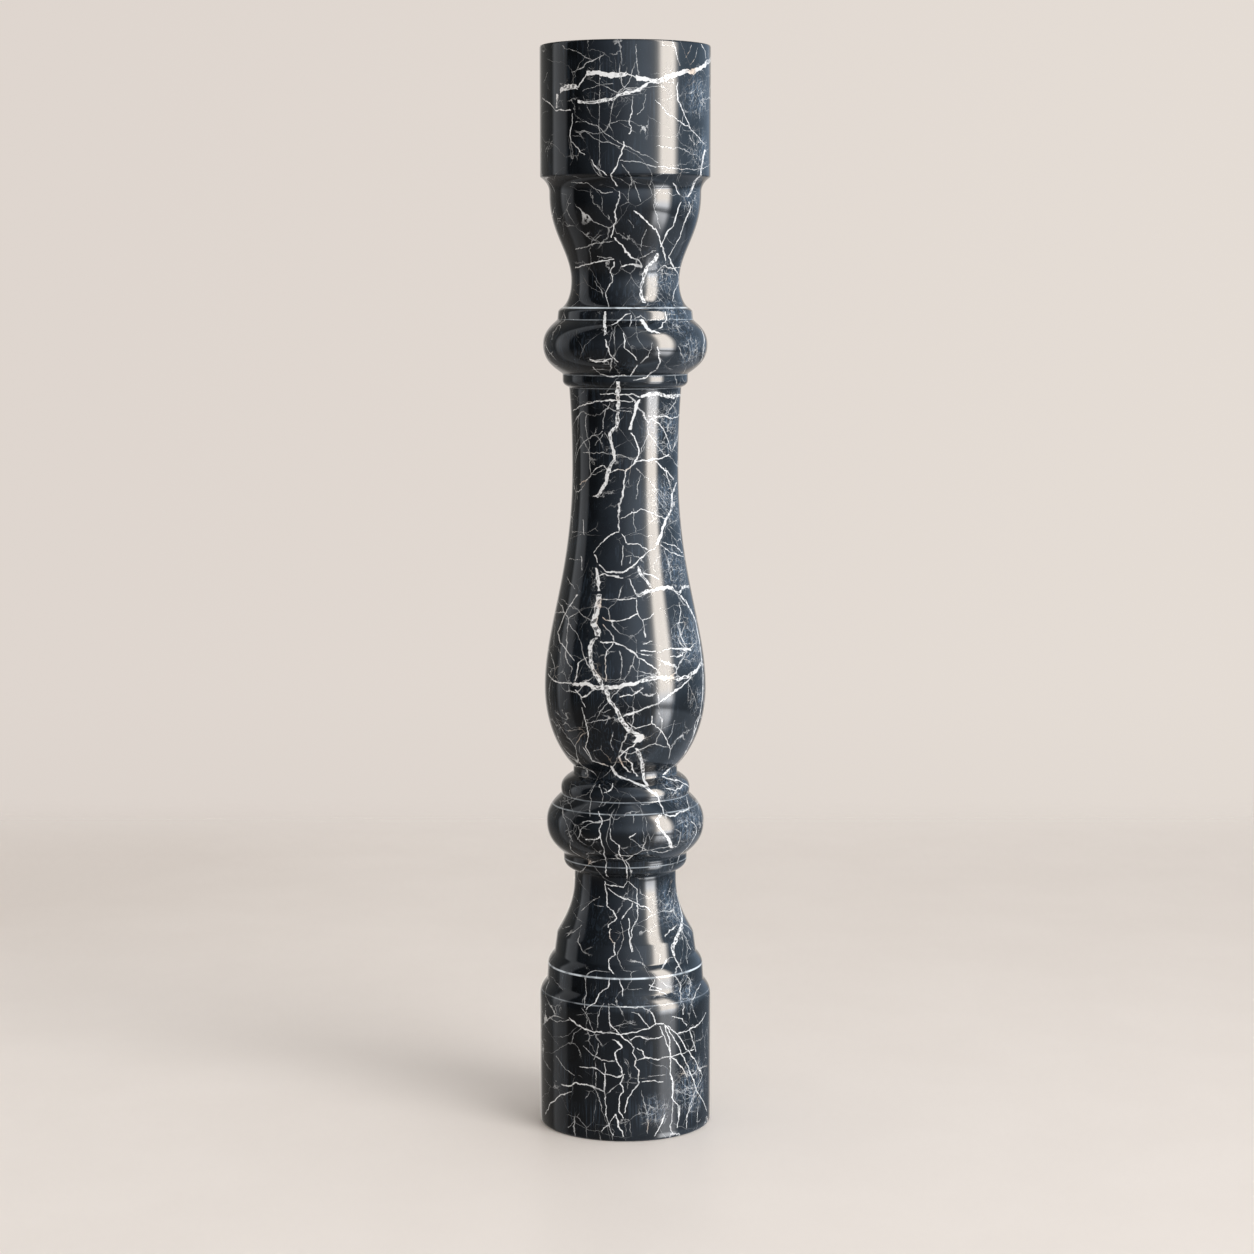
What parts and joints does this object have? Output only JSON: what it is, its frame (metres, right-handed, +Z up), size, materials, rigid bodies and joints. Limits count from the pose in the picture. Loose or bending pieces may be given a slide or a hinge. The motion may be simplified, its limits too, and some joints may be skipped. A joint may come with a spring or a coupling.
{
  "type": "stone baluster",
  "caption": "Round turned baluster of polished black marble with white veins: drums at both ends, a vase between collared beads, and a cup under the top drum.",
  "frame": {"origin": "centre of the underside, on the turning axis", "axes": "+Z up along the turning axis, from the underside to the bearing face; +Y points away from the viewer of the picture's side"},
  "size_m": [0.1204, 0.1204, 0.75],
  "materials": {
    "black_marble": "polished, near-black with white and beige veins"
  },
  "bodies": {
    "root": {"baluster": "black_marble"}
  },
  "joints": []
}
